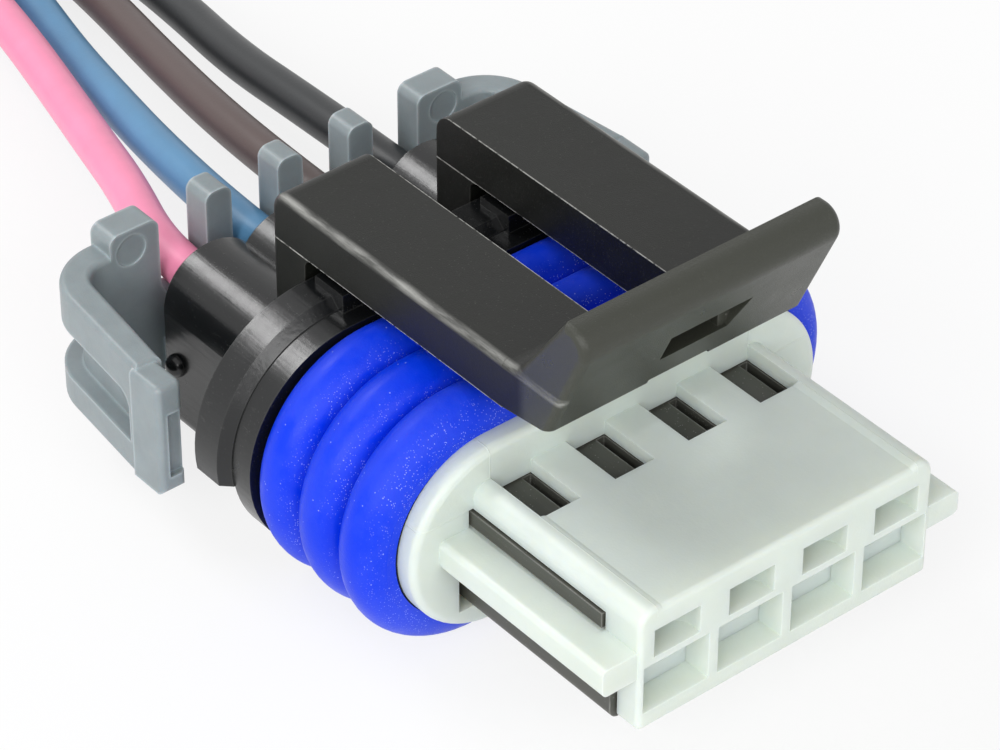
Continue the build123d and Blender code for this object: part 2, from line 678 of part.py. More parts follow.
for number, (name, x) in enumerate(zip(lead_names, way_x)):
    track = coil_inner_track + coil_track_step * number
    meet_station = coil_station - sqrt(coil_outer_radius ** 2 - track ** 2) + lead_radius
    points = [(x, tower_end, lead_height), (x, straight_start, lead_height)]
    points += lead_routes[name]
    points += [(coil_x + track - meet_shift, meet_station, coil_height)]
    route = [Vector(px, front_y + station, height) for px, station, height in points]
    radii = []
    for before, corner, after in zip(route, route[1:], route[2:]):
        turn = (corner - before).get_angle(after - corner)
        shorter = min((corner - before).length, (after - corner).length)
        radii.append(bend_share * shorter / tan(radians(turn / 2)))
    with BuildPart() as lead:
        with BuildLine() as path:
            FilletPolyline(*route, radius=radii)
        with BuildSketch(Plane(origin=route[0], z_dir=(0, 1, 0))):
            Circle(lead_radius)
        sweep(path=path.wire())
        with BuildSketch(across(tower_end)):
            with Locations((x, tower_height_offset)):
                Circle(lead_radius)
        extrude(amount=tower_end - jacket_crimp_start)
    path_volume = pi * lead_radius ** 2 * (path.wire().length + tower_end - jacket_crimp_start)
    print(name, "radii", [round(radius, 1) for radius in radii])
    print(name, "free length", round(path.wire().length, 1),
          "volume over section times length", round(lead.part.volume / path_volume, 4))
    save(lead.part, f"lead_{name}")
    with BuildPart() as conductor:
        with BuildSketch(across(jacket_crimp_start)):
            with Locations((x, tower_height_offset)):
                Circle(conductor_radius)
        extrude(amount=jacket_crimp_start - wire_crimp_start)
    save(conductor.part, f"conductor_{name}")


# Coil: the leads' turns side by side, a full lower layer and an upper layer that ends with each lead
coil_y = front_y + coil_station
coil_axis = Axis((coil_x, coil_y, 0), (0, 0, 1))
coiled_length = lead_length - route_share * (coil_station - tower_end)
tracks = [coil_inner_track + coil_track_step * number for number in range(way_count)]
end_angles = [degrees(coiled_length / track) for track in tracks]


def coil_section(angle):
    """Upright plane through the coil's axis, with the radius and the height above its foot as its axes."""
    outward = (cos(radians(angle)), sin(radians(angle)), 0)
    backward = (sin(radians(angle)), -cos(radians(angle)), 0)
    return Plane(origin=(coil_x, coil_y, coil_floor_gap), x_dir=outward, z_dir=backward)


with BuildPart() as lead_coil:
    with BuildSketch(Plane(origin=(coil_x, coil_y, coil_floor_gap))):
        Circle(coil_outer_radius)
        Circle(coil_inner_radius, mode=Mode.SUBTRACT)
    extrude(amount=coil_layer)
    for number, end_angle in enumerate(end_angles):
        with BuildSketch(coil_section(coil_step_angle)):
            with Locations((coil_inner_track + coil_track_step * number, coil_layer * 1.5)):
                Rectangle(2 * lead_radius, coil_layer)
        revolve(axis=coil_axis, revolution_arc=end_angle - coil_step_angle)
save(lead_coil.part, "lead_coil")


# Ties: a band round the turns at two places, on which the coil lies
for number, angle in enumerate(tie_angles, start=1):
    upper_turns = [track for track, end_angle in zip(tracks, end_angles) if end_angle > 360 + angle]
    upper_edge = max([coil_inner_track] + upper_turns) + lead_radius
    tie_half_angle = degrees(tie_width / 2 / coil_outer_radius)
    with BuildPart() as tie:
        with BuildSketch(coil_section(angle - tie_half_angle)):
            with BuildLine():
                Polyline((coil_inner_radius, 0), (coil_outer_radius, 0), (coil_outer_radius, coil_layer),
                         (upper_edge, 2 * coil_layer), (coil_inner_radius, 2 * coil_layer), close=True)
            make_face()
            offset(amount=tie_thickness, kind=Kind.INTERSECTION)
            with BuildLine():
                Polyline((coil_inner_radius, 0), (coil_outer_radius, 0), (coil_outer_radius, coil_layer),
                         (upper_edge, 2 * coil_layer), (coil_inner_radius, 2 * coil_layer), close=True)
            make_face(mode=Mode.SUBTRACT)
        revolve(axis=coil_axis, revolution_arc=2 * tie_half_angle)
    save(tie.part, f"coil_tie_{number}")


# Bared far ends of the leads, where each upper turn stops
for number, (name, end_angle) in enumerate(zip(lead_names, end_angles)):
    with BuildPart() as strand_end:
        with BuildSketch(coil_section(end_angle)):
            with Locations((coil_inner_track + coil_track_step * number, coil_layer * 1.5)):
                Circle(conductor_radius)
        extrude(amount=-bare_length)
    save(strand_end.part, f"strand_end_{name}")
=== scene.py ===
from math import cos, floor, pi, radians, sin, sqrt, tan

import bmesh
import bpy
from bpy.props import FloatProperty, FloatVectorProperty, IntProperty, PointerProperty
from bpy.types import Operator, Panel, PropertyGroup
from mathutils import Matrix, Vector


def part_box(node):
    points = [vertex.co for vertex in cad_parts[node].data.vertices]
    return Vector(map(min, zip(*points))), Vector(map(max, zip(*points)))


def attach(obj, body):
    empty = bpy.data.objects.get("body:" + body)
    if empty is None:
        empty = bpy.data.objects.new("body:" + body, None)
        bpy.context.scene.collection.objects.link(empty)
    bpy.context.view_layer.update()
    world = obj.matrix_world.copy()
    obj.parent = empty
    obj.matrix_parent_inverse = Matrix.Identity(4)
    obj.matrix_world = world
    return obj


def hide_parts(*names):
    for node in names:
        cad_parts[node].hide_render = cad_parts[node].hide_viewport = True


bl_info = {
    "name": "Connector Pigtail",
    "version": (1, 0, 0),
    "blender": (4, 5, 0),
    "location": "View3D > Sidebar > Pigtail",
    "description": "Finishes, leads and studio for a four-way sealed connector with its pigtail",
    "category": "Object",
}

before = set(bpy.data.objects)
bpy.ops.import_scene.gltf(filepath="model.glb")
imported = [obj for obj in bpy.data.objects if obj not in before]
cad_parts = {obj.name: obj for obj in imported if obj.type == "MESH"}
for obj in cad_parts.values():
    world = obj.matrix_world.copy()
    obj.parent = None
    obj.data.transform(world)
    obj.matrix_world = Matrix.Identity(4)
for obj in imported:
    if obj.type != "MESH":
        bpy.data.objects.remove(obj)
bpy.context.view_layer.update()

# Everything here is in metres unless it says millimetres
MM = 0.001
LEAD_NAMES = ("pink", "blue", "brown", "black")
COIL_TIES = ("coil_tie_1", "coil_tie_2")
PLUG = "plug"


def middle(node):
    """Centre of a node's box."""
    low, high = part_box(node)
    return (low + high) / 2


# Places read from the frame
FRONT_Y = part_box("nose")[0].y
HOUSING_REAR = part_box("housing")[1].y
MID_HEIGHT = middle("interface_seal").z

# Places on the pieces in millimetres, for the marks on them
NOSE_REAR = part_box("nose")[1].y / MM
MOULD_LINE_X = 7.1
MOULD_LINE_LOW = MID_HEIGHT / MM + 2.6
PARTING_HEIGHT = MID_HEIGHT / MM + 1.95
PARTING_FRONT = NOSE_REAR - 1.3
SEAL_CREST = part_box("interface_seal")[0].y / MM + 1.3
SEAL_UNDERSIDE = MID_HEIGHT / MM - 1.0
RIB_PITCH = 2.7
ARM_INNER = 2.1
ARM_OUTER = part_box("latch")[1].x / MM
ARM_TOP = MID_HEIGHT / MM + 9.4
ARM_UNDER = MID_HEIGHT / MM + 7.0
# Place of the painted highlight line along the latch's outer top edges
HIGHLIGHT_INSET = 0.12
HIGHLIGHT_DROP = 0.10
TAB_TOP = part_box("latch")[1].z / MM
TAB_LINE = FRONT_Y / MM + 5.5
TAB_REAR = FRONT_Y / MM + 9.0

# Wall at the back of each mouth, from the nose's front and the mouth's middle
MOUTH_DROP = 1.0 * MM
MOUTH_HALVES = (1.75 * MM, 1.2 * MM)
MOUTH_SLOPE = tan(radians(8))
WALL_FRONT = 1.2 * MM
WALL_REAR = 1.5 * MM
WALL_BITE = 0.03 * MM
SLOT_LOW = (-0.95 * MM, -0.15 * MM)
SLOT_HIGH = (0.95 * MM, 0.75 * MM)
SLOT_LEAD_IN = 0.1 * MM

# Leads: where they run straight, where the coil lies and the angles between which a turn climbs
STRAIGHT_END = 35.2 * MM
COIL_X = -5.2 * MM
COIL_STATION = 80.0 * MM
COIL_FLOOR_GAP = 0.5 * MM
COIL_CLIMB = (radians(250), radians(300))
ROUTE_SLACK = 1.045
LAST_STEP_SHARE = 0.6

# Points on each lead's way to its coil in millimetres: across, back from the nose's front, and up
LEAD_ROUTES = {
    "pink": [(-3.7, 41.0, 5.5), (-2.2, 45.6, 4.7), (-0.4, 51.2, 3.9), (1.1, 56.4, 3.4), (2.4, 61.4, 2.8)],
    "blue": [(-0.6, 42.6, 5.2), (1.5, 49.8, 3.6), (3.45, 56.0, 2.1), (5.1, 61.8, 1.6)],
    "brown": [(3.1, 42.8, 5.3), (5.0, 50.2, 3.8), (6.9, 57.2, 2.5), (8.0, 62.8, 1.8)],
    "black": [(6.7, 41.6, 5.4), (7.6, 47.8, 4.2), (9.2, 54.6, 3.0), (10.3, 60.6, 2.0)],
}

# Studio: name, place, size and power of each lamp
LAMPS = (
    ("key", (-0.58, -0.28, 0.38), (0.5, 0.4), 3.3),
    ("fill", (-0.14, -0.60, 0.38), (0.4, 0.3), 1.7),
    ("back", (-0.19, 0.46, 0.52), (0.36, 0.10), 1.55),
)
WORLD_STRENGTH = 0.45
WHITE = (1.0, 1.0, 1.0, 1.0)
FLOOR_RADIUS = 2.0
FLOOR_GREY = (0.90, 0.90, 0.90, 1.0)
FLOOR_GLOW = 0.8

# Materials: a speck's radius in its cell, the gain on an edge, an even stretch, and Mix's colour output
SPECK_RADIUS = 0.28
EDGE_GAIN = 6.0
ALL_ROUND = (1.0, 1.0, 1.0)
MIXED_COLOUR = 2


# Material maths
class Field:
    """A value that varies over a surface, with arithmetic that adds Math nodes to its tree."""

    def __init__(self, graph, socket):
        self.graph = graph
        self.socket = socket

    def __add__(self, other):
        return self.graph.maths("ADD", self, other)

    __radd__ = __add__

    def __sub__(self, other):
        return self.graph.maths("SUBTRACT", self, other)

    def __rsub__(self, other):
        return self.graph.maths("SUBTRACT", other, self)

    def __mul__(self, other):
        return self.graph.maths("MULTIPLY", self, other)

    __rmul__ = __mul__

    def __truediv__(self, other):
        return self.graph.maths("DIVIDE", self, other)

    def __rtruediv__(self, other):
        return self.graph.maths("DIVIDE", other, self)

    def __pow__(self, other):
        return self.graph.maths("POWER", self, other)

    def __gt__(self, other):
        return self.graph.maths("GREATER_THAN", self, other)

    def __lt__(self, other):
        return self.graph.maths("LESS_THAN", self, other)


class Graph:
    """A node tree being built, for a material or for the world."""

    def __init__(self, tree):
        self.tree = tree

    def node(self, kind, settings=None, output=0, **inputs):
        """Add a node with its settings and then its inputs, and return one output or a list of outputs.

        An input is named by its label in small letters, or by i and its number.
        """
        made = self.tree.nodes.new(kind)
        for key, value in (settings or {}).items():
            if key == "stops":
                self.set_stops(made.color_ramp, value)
            else:
                setattr(made, key, value)
        for key, value in inputs.items():
            index = int(key[1:]) if key[1:].isdigit() else key.title()
            self.plug(made.inputs[index], value)
        if isinstance(output, tuple):
            return [Field(self, made.outputs[name]) for name in output]
        return Field(self, made.outputs[output])

    def plug(self, socket, value):
        """Link a field to a socket, write a constant into it, or leave it alone for None."""
        if isinstance(value, Field):
            self.tree.links.new(value.socket, socket)
        elif value is not None:
            socket.default_value = value

    @staticmethod
    def set_stops(ramp, stops):
        """Place the two stops of a ramp, given as pairs of place and grey value."""
        for element, (place, grey) in zip(ramp.elements, stops):
            element.position = place
            element.color = (grey, grey, grey, 1.0)

    def maths(self, operation, first, second, clamp=False):
        """One Math node."""
        return self.node("ShaderNodeMath", {"operation": operation, "use_clamp": clamp}, i0=first, i1=second)

    def clamped(self, field):
        """The field held between 0 and 1."""
        return self.maths("ADD", field, 0.0, clamp=True)

    def seen(self):
        """1 for rays that come from the camera, a reflection or a see-through surface."""
        names = tuple(f"Is {kind} Ray" for kind in ("Camera", "Glossy", "Transmission"))
        return self.clamped(sum(self.node("ShaderNodeLightPath", output=names)))


class Finish(Graph):
    """A material being built: its shader, its patterns and its bump."""

    def __init__(self, name, **constants):
        self.material = bpy.data.materials.new(name)
        self.material.use_nodes = True
        super().__init__(self.material.node_tree)
        self.shader = self.tree.nodes["Principled BSDF"]
        for socket, value in constants.items():
            label = socket.replace("_", " ").title().replace("Ior", "IOR")
            self.shader.inputs[label].default_value = value

    def place(self):
        """Object coordinates in metres, which every piece of the frame shares."""
        return self.node("ShaderNodeTexCoord", output="Object")

    def axes(self):
        """The three object coordinates in millimetres."""
        parts = self.node("ShaderNodeSeparateXYZ", output=("X", "Y", "Z"), vector=self.place())
        return [part / MM for part in parts]

    def noise(self, size, detail=3.0, roughness=0.55, stretch=ALL_ROUND):
        """Cloudy noise whose lumps are size metres across, drawn out along the axes with a small stretch."""
        place = self.node("ShaderNodeMapping", vector=self.place(), scale=stretch)
        return self.node("ShaderNodeTexNoise", vector=place, scale=1.0 / size, detail=detail,
                         roughness=roughness)

    def specks(self, size, share):
        """Round specks in that share of the cells, with cells of size metres."""
        distance, tint = self.node("ShaderNodeTexVoronoi", output=("Distance", "Color"),
                                   vector=self.place(), scale=1.0 / size)
        chance = self.node("ShaderNodeSeparateColor", color=tint)
        return (distance < SPECK_RADIUS) * (chance < share)

    def size_of(self, field):
        """The field without its sign."""
        return self.maths("ABSOLUTE", field, 0.0)

    def rising(self, field, distance):
        """0 where the field is below zero, rising to 1 at the distance."""
        return self.clamped(field / distance)

    def strip(self, offset, half_width):
        """A soft strip where the offset is near zero: 1 in its middle, 0 past the half width."""
        return self.clamped(1.0 - self.size_of(offset) / half_width)

    def line_at(self, first, second, radius):
        """A soft line where both offsets are near zero."""
        return self.clamped(1.0 - (first * first + second * second) ** 0.5 / radius)

    def ramp(self, field, start, end, least=0.0):
        """The field through a ramp from the least value at start to 1 at end."""
        return self.node("ShaderNodeValToRGB", {"stops": ((start, least), (end, 1.0))}, fac=field)

    def mix(self, share, first, second):
        """A colour between two colours, each a field or three numbers."""
        ends = [end if isinstance(end, Field) else (*end, 1.0) for end in (first, second)]
        return self.node("ShaderNodeMix", {"data_type": "RGBA"}, output=MIXED_COLOUR,
                         i0=share, i6=ends[0], i7=ends[1])

    def edges(self, radius):
        """1 on a sharp edge, falling to 0 at the radius."""
        bent = self.node("ShaderNodeBevel", {"samples": 6}, radius=radius)
        flat = self.node("ShaderNodeNewGeometry", output="Normal")
        close = self.node("ShaderNodeVectorMath", {"operation": "DOT_PRODUCT"}, output="Value",
                          i0=bent, i1=flat)
        return self.clamped((1.0 - close) * EDGE_GAIN)

    def bumps(self, *layers):
        """Bump nodes on top of each other, from pairs of height field and distance."""
        normal = None
        for height, distance in layers:
            normal = self.node("ShaderNodeBump", strength=1.0, distance=distance, height=height,
                               normal=normal)
        return normal

    def show(self, **fields):
        """Feed the shader's sockets, and give back the material."""
        for key, value in fields.items():
            self.plug(self.shader.inputs[key.replace("_", " ").title()], value)
        return self.material


def shade(colour, factor):
    """A colour made darker or lighter by a factor."""
    return tuple(part * factor for part in colour)


# Finishes
def pale_shell(colours):
    """Pale greenish moulded nylon, slightly waxy, with a fine mould line beside each ridge and a painted
    highlight on its edges.
    """
    finish = Finish("pale_shell", subsurface_weight=0.45, subsurface_scale=2.0 * MM,
                    subsurface_radius=(1.0, 0.85, 0.6))
    base = tuple(colours.shell)
    x, y, z = finish.axes()
    cloud = finish.noise(4 * MM, detail=4.0)
    flow = finish.noise(1.5 * MM, stretch=(1.0, 0.25, 1.0))
    grain = finish.noise(0.12 * MM, detail=2.0)
    mould_line = finish.strip(finish.size_of(x) - MOULD_LINE_X, half_width=0.035) * (z > MOULD_LINE_LOW)
    parting = finish.strip(z - PARTING_HEIGHT, half_width=0.04) * (y > PARTING_FRONT)
    lines = mould_line + parting
    colour = finish.mix(finish.ramp(cloud, 0.35, 0.7), shade(base, 0.96), shade(base, 1.03))
    # Painted highlight: the edges are lightened
    colour = finish.mix(finish.edges(0.15 * MM) * 0.5, colour, shade(base, 1.15))
    colour = finish.mix(finish.clamped(lines) * 0.5, colour, shade(base, 1.25))
    bump = finish.bumps((grain, 0.006 * MM), (flow, 0.02 * MM), (lines, 0.02 * MM))
    return finish.show(base_color=colour, roughness=0.34 + 0.14 * flow, normal=bump)


def housing_black(colours):
    """Glossy black plastic with drawn streaks and scuffs, rougher, dustier and painted lighter inside the
    nose, with its edges painted lighter.
    """
    finish = Finish("housing_black")
    # Lighter black for inside the nose: a painted sheen standing in for the light on the core's top
    painted_sheen_black = (0.055, 0.056, 0.047)
    # Grey for scuffs, dust specks and the painted edge highlight
    scuff_dust_and_highlight_grey = (0.34, 0.34, 0.32)
    y = finish.axes()[1]
    inside = finish.rising(NOSE_REAR - y, 0.25)
    cloud = finish.noise(1.2 * MM, detail=5.0, roughness=0.6)
    drawn = finish.noise(0.22 * MM, stretch=(1.0, 0.05, 1.0))
    scuffs = finish.ramp(finish.noise(0.35 * MM, detail=5.0, stretch=(1.0, 0.4, 1.0)), 0.64, 0.80)
    # Edges painted lighter: partly wear, partly a painted highlight
    painted_edge_highlight = finish.edges(0.13 * MM) * finish.ramp(cloud, 0.3, 0.6, least=0.3)
    dust = finish.specks(0.09 * MM, share=0.10) * (0.15 + 0.85 * inside)
    # Inside the nose the black is painted lighter, a painted sheen
    colour = finish.mix(inside, tuple(colours.housing), painted_sheen_black)
    # Marks: painted edge highlight, dust specks and scuffs
    marks = finish.clamped(painted_edge_highlight * (0.08 + 0.5 * inside) + dust * 0.45 + scuffs * 0.06)
    colour = finish.mix(marks, colour, scuff_dust_and_highlight_grey)
    gloss = 0.16 + 0.14 * cloud + 0.15 * scuffs + 0.2 * inside
    bump = finish.bumps((drawn, 0.010 * MM), (cloud, 0.010 * MM))
    return finish.show(base_color=colour, roughness=gloss, normal=bump)


def latch_black(colours):
    """Satin black plastic of the latch, with thin flash along its parting lines, a painted highlight along
    its outer top edges, painted highlights on its other edges and a painted sheen on its tab.
    """
    finish = Finish("latch_black", specular_ior_level=0.32)
    base = tuple(colours.latch)
    # Lighter black for the tab: a painted sheen standing in for the light its front catches
    tab_sheen_black = (0.040, 0.042, 0.033)
    # Grey for dust specks and for the painted edge highlight
    dust_and_highlight_grey = (0.20, 0.20, 0.18)
    # Grey for the painted edge highlight and for the flash
    highlight_and_flash_grey = (0.55, 0.55, 0.52)
    x, y, z = finish.axes()
    beside = finish.size_of(x)
    tab = finish.rising(TAB_REAR - y, 0.5)
    cloud = finish.noise(1.6 * MM, detail=5.0, roughness=0.6)
    grain = finish.noise(0.055 * MM)
    streaks = finish.noise(0.3 * MM, detail=4.0, stretch=(1.0, 0.12, 1.0))
    streaks = finish.ramp(streaks, 0.38, 0.62, least=0.25)
    # Painted highlight: a broken bright line along each arm's outer top edge
    outer_edge_highlight = finish.line_at(beside - ARM_OUTER + HIGHLIGHT_INSET, z - ARM_TOP + HIGHLIGHT_DROP, radius=0.30) * streaks
    broken = finish.ramp(finish.noise(0.25 * MM, detail=4.0), 0.34, 0.52)
    parting_lines = (
        (beside - ARM_INNER, z - ARM_TOP),
        (beside - ARM_INNER, z - ARM_UNDER),
        (beside - ARM_OUTER, z - ARM_UNDER),
        (y - TAB_LINE, z - TAB_TOP),
    )
    flash = sum(finish.line_at(across, up, radius=0.05) for across, up in parting_lines)
    # Painted highlight on the edges, broken up by noise
    painted_edge_highlight = finish.edges(0.12 * MM) * broken
    # Dust specks, with the painted edge highlight mixed in
    dust = finish.clamped(finish.specks(0.07 * MM, share=0.05) * 0.25 + painted_edge_highlight * 0.2)
    colour = finish.mix(finish.ramp(cloud, 0.3, 0.75), shade(base, 0.85), shade(base, 1.25))
    # The tab is painted lighter, a painted sheen
    colour = finish.mix(tab, colour, tab_sheen_black)
    colour = finish.mix(dust, colour, dust_and_highlight_grey)
    # Painted highlight on the outer top edges, and the flash lines
    colour = finish.mix(finish.clamped(outer_edge_highlight * 0.55 + flash * broken * 0.9), colour, highlight_and_flash_grey)
    gloss = 0.36 + 0.18 * cloud - 0.12 * outer_edge_highlight - 0.14 * tab
    bump = finish.bumps((grain * (1.0 + tab), 0.012 * MM), (cloud, 0.015 * MM))
    return finish.show(base_color=colour, roughness=gloss, normal=bump)


def ribbed_silicone(colours):
    """Royal blue silicone with pale dust down in the flanks of its ribs."""
    finish = Finish("ribbed_silicone", specular_ior_level=0.22,
                    subsurface_weight=0.15, subsurface_scale=0.8 * MM)
    # Paler blue for random patches and for the painted fill light at the foot
    patch_and_fill_blue = (0.30, 0.38, 0.80)
    dust_blue = (0.50, 0.58, 0.92)
    y, z = finish.axes()[1:]
    wave = finish.maths("PINGPONG", y - SEAL_CREST, RIB_PITCH / 2) / (RIB_PITCH / 2)
    groove = finish.ramp(wave, 0.35, 0.75)
    cloud = finish.noise(2.2 * MM, detail=5.0, roughness=0.65)
    patches = finish.ramp(cloud, 0.40, 0.62)
    grain = finish.noise(0.1 * MM)
    dust = finish.specks(0.085 * MM, share=0.35) * groove * patches
    lint = finish.specks(0.12 * MM, share=0.02)
    # Paler towards the bottom: painted fill light on the shaded foot
    low = finish.rising(SEAL_UNDERSIDE - z, 5.0)
    colour = finish.mix(patches * 0.04 + low * 0.12, tuple(colours.seal), patch_and_fill_blue)
    colour = finish.mix(finish.clamped(dust * 0.55 + lint * 0.4), colour, dust_blue)
    bump = finish.bumps((grain, 0.010 * MM))
    return finish.show(base_color=colour, roughness=0.34 + 0.2 * patches, normal=bump)


def grey_lock(colours):
    """Grey moulded plastic with painted highlights on its edges."""
    finish = Finish("grey_lock", subsurface_weight=0.1, subsurface_scale=0.5 * MM)
    base = tuple(colours.lock)
    cloud = finish.noise(1.5 * MM, detail=5.0, roughness=0.6)
    grain = finish.noise(0.07 * MM, detail=2.0)
    # Painted highlight on the edges
    painted_edge_highlight = finish.edges(0.28 * MM)
    colour = finish.mix(finish.ramp(cloud, 0.3, 0.75), shade(base, 0.90), shade(base, 1.08))
    # Edges painted much lighter, a painted highlight
    colour = finish.mix(painted_edge_highlight * 0.7, colour, shade(base, 1.9))
    bump = finish.bumps((grain, 0.008 * MM), (cloud, 0.03 * MM))
    return finish.show(base_color=colour, roughness=0.30 + 0.16 * cloud, normal=bump)


def jacket(name, colour):
    """Extruded lead jacket, slightly uneven in tone, with small scuffs."""
    finish = Finish(f"jacket_{name}")
    base = tuple(colour)
    cloud = finish.noise(2.5 * MM, detail=5.0, roughness=0.6)
    grain = finish.noise(0.15 * MM)
    scuffs = finish.ramp(finish.noise(0.5 * MM, detail=4.0), 0.62, 0.72)
    tone = finish.mix(finish.ramp(cloud, 0.3, 0.75), shade(base, 0.94), shade(base, 1.05))
    tone = finish.mix(scuffs * 0.12, tone, shade(base, 0.8))
    bump = finish.bumps((grain, 0.006 * MM), (cloud, 0.02 * MM))
    return finish.show(base_color=tone, roughness=0.36 + 0.12 * cloud, normal=bump)


def tinned_contact():
    """Tin-plated sheet with a soft, cloudy shine."""
    finish = Finish("tinned_contact", metallic=1.0)
    dark_tin = (0.60, 0.59, 0.56)
    light_tin = (0.74, 0.73, 0.70)
    cloud = finish.noise(0.8 * MM, detail=4.0)
    drawn = finish.noise(0.08 * MM, stretch=(1.0, 0.15, 1.0))
    return finish.show(base_color=finish.mix(cloud, dark_tin, light_tin), roughness=0.24 + 0.2 * cloud,
                       normal=finish.bumps((drawn, 0.004 * MM)))


def bare_copper():
    """Drawn copper with a few darker stains."""
    finish = Finish("bare_copper", metallic=1.0)
    stained_copper = (0.72, 0.34, 0.20)
    clean_copper = (0.88, 0.50, 0.33)
    cloud = finish.noise(0.7 * MM, detail=4.0)
    colour = finish.mix(finish.ramp(cloud, 0.35, 0.7), stained_copper, clean_copper)
    return finish.show(base_color=colour, roughness=0.22 + 0.2 * cloud)


def small_seal():
    """Blue silicone of the cable seals."""
    finish = Finish("small_seal", subsurface_weight=0.1, subsurface_scale=0.6 * MM)
    deep_blue = (0.02, 0.08, 0.42)
    light_blue = (0.04, 0.14, 0.6)
    cloud = finish.noise(0.8 * MM, detail=4.0)
    return finish.show(base_color=finish.mix(cloud, deep_blue, light_blue), roughness=0.4 + 0.15 * cloud)


def tie_nylon():
    """Natural nylon of the coil's ties."""
    finish = Finish("tie_nylon", subsurface_weight=0.2, subsurface_scale=1.0 * MM)
    dull_nylon = (0.68, 0.68, 0.64)
    pale_nylon = (0.78, 0.78, 0.74)
    cloud = finish.noise(1.0 * MM, detail=4.0)
    return finish.show(base_color=finish.mix(cloud, dull_nylon, pale_nylon), roughness=0.35 + 0.15 * cloud)


# Pieces
def dress(node, material):
    """Give a node of the frame a finish in place of its plain one."""
    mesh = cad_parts[node].data
    mesh.materials.clear()
    mesh.materials.append(material)
    for face in mesh.polygons:
        face.use_smooth = True


def add_object(name, data):
    """Put an object with this data into the scene."""
    made = bpy.data.objects.new(name, data)
    bpy.context.scene.collection.objects.link(made)
    return made


def add_mesh(name, bm):
    """Turn a bmesh into an object and free it."""
    mesh = bpy.data.meshes.new(name)
    bm.to_mesh(mesh)
    bm.free()
    return add_object(name, mesh)


def mouth_rings(bm, x, station, lead_in):
    """The corners of a mouth's wall and the corners of its slot, at one station."""
    wide, high = [half - station * MOUTH_SLOPE + WALL_BITE for half in MOUTH_HALVES]
    wall = (-wide, -high, wide, high)
    slot = (SLOT_LOW[0] - lead_in, SLOT_LOW[1] - lead_in, SLOT_HIGH[0] + lead_in, SLOT_HIGH[1] + lead_in)
    rings = []
    for left, low, right, top in (wall, slot):
        corners = ((left, low), (right, low), (right, top), (left, top))
        rings.append([bm.verts.new((x + across, FRONT_Y + station, MID_HEIGHT - MOUTH_DROP + up))
                      for across, up in corners])
    return rings


def mouth_walls():
    """A thin wall at the back of each mouth, with a slot for the blade."""
    bm = bmesh.new()
    for name in LEAD_NAMES:
        x = middle(f"conductor_{name}").x
        wall_front, slot_front = mouth_rings(bm, x, WALL_FRONT, SLOT_LEAD_IN)
        wall_rear, slot_rear = mouth_rings(bm, x, WALL_REAR, 0.0)
        rings = (wall_front, slot_front, slot_rear, wall_rear, wall_front)
        for first, second in zip(rings, rings[1:]):
            for corner in range(4):
                after = (corner + 1) % 4
                bm.faces.new((first[corner], first[after], second[after], second[corner]))
    bmesh.ops.recalc_face_normals(bm, faces=bm.faces)
    return add_mesh("mouth_walls", bm)


def coil_height(angle, leads):
    """Height of a lead's centre in the coil: flat, then up over its own start."""
    start, end = COIL_CLIMB
    whole = floor(angle / (2 * pi))
    part = angle - whole * 2 * pi
    share = min(max((part - start) / (end - start), 0.0), 1.0)
    climb = whole + share * share * (3 - 2 * share)
    return COIL_FLOOR_GAP + leads.radius + climb * leads.layer


def coil_point(radius, angle, leads):
    """A point of a turn: across, back from the nose's front, and up."""
    return (COIL_X + radius * cos(angle), COIL_STATION + radius * sin(angle), coil_height(angle, leads))


def lead_points(number, leads):
    """Control points of one lead, from its tower to the end of its last turn."""
    name = LEAD_NAMES[number]
    start = middle(f"conductor_{name}")
    tower_end = HOUSING_REAR - FRONT_Y
    route = [(start.x, tower_end, start.z), (start.x, STRAIGHT_END, start.z)]
    route += [(x * MM, station * MM, z * MM) for x, station, z in LEAD_ROUTES[name]]
    track = leads.inner_track + leads.track_step * number
    rim = leads.inner_track + leads.track_step * (len(LEAD_NAMES) - 0.5)
    meet_station = COIL_STATION - sqrt(rim ** 2 - track ** 2) + leads.radius
    route.append((COIL_X + track, meet_station, COIL_FLOOR_GAP + leads.radius))
    coiled = leads.length - ROUTE_SLACK * (COIL_STATION - tower_end)
    end_angle = coiled / track
    step = 2 * pi / leads.turn_points
    angle = step / 2
    wide = track / cos(step / 2)
    while angle < end_angle - LAST_STEP_SHARE * step:
        route.append(coil_point(wide, angle, leads))
        angle += step
    route.append(coil_point(track, end_angle, leads))
    return [Vector((x, FRONT_Y + station, z)) for x, station, z in route]


def tube_along(name, points, radius):
    """A smooth round tube whose spline has these control points."""
    curve = bpy.data.curves.new(name, "CURVE")
    curve.dimensions = "3D"
    curve.bevel_depth = radius
    curve.bevel_resolution = 7
    curve.use_fill_caps = True
    spline = curve.splines.new("NURBS")
    spline.points.add(len(points) - 1)
    for point, place in zip(spline.points, points):
        point.co = (*place, 1.0)
    spline.order_u = 3
    spline.use_endpoint_u = True
    spline.resolution_u = 10
    return add_object(name, curve)


def area_light(name, place, aim, size, power):
    """A soft rectangular lamp turned towards a point."""
    lamp = bpy.data.lights.new(name, "AREA")
    lamp.shape = "RECTANGLE"
    lamp.size, lamp.size_y = size
    lamp.energy = power
    holder = add_object(name, lamp)
    holder.location = place
    holder.rotation_euler = (Vector(aim) - Vector(place)).to_track_quat("-Z", "Y").to_euler()


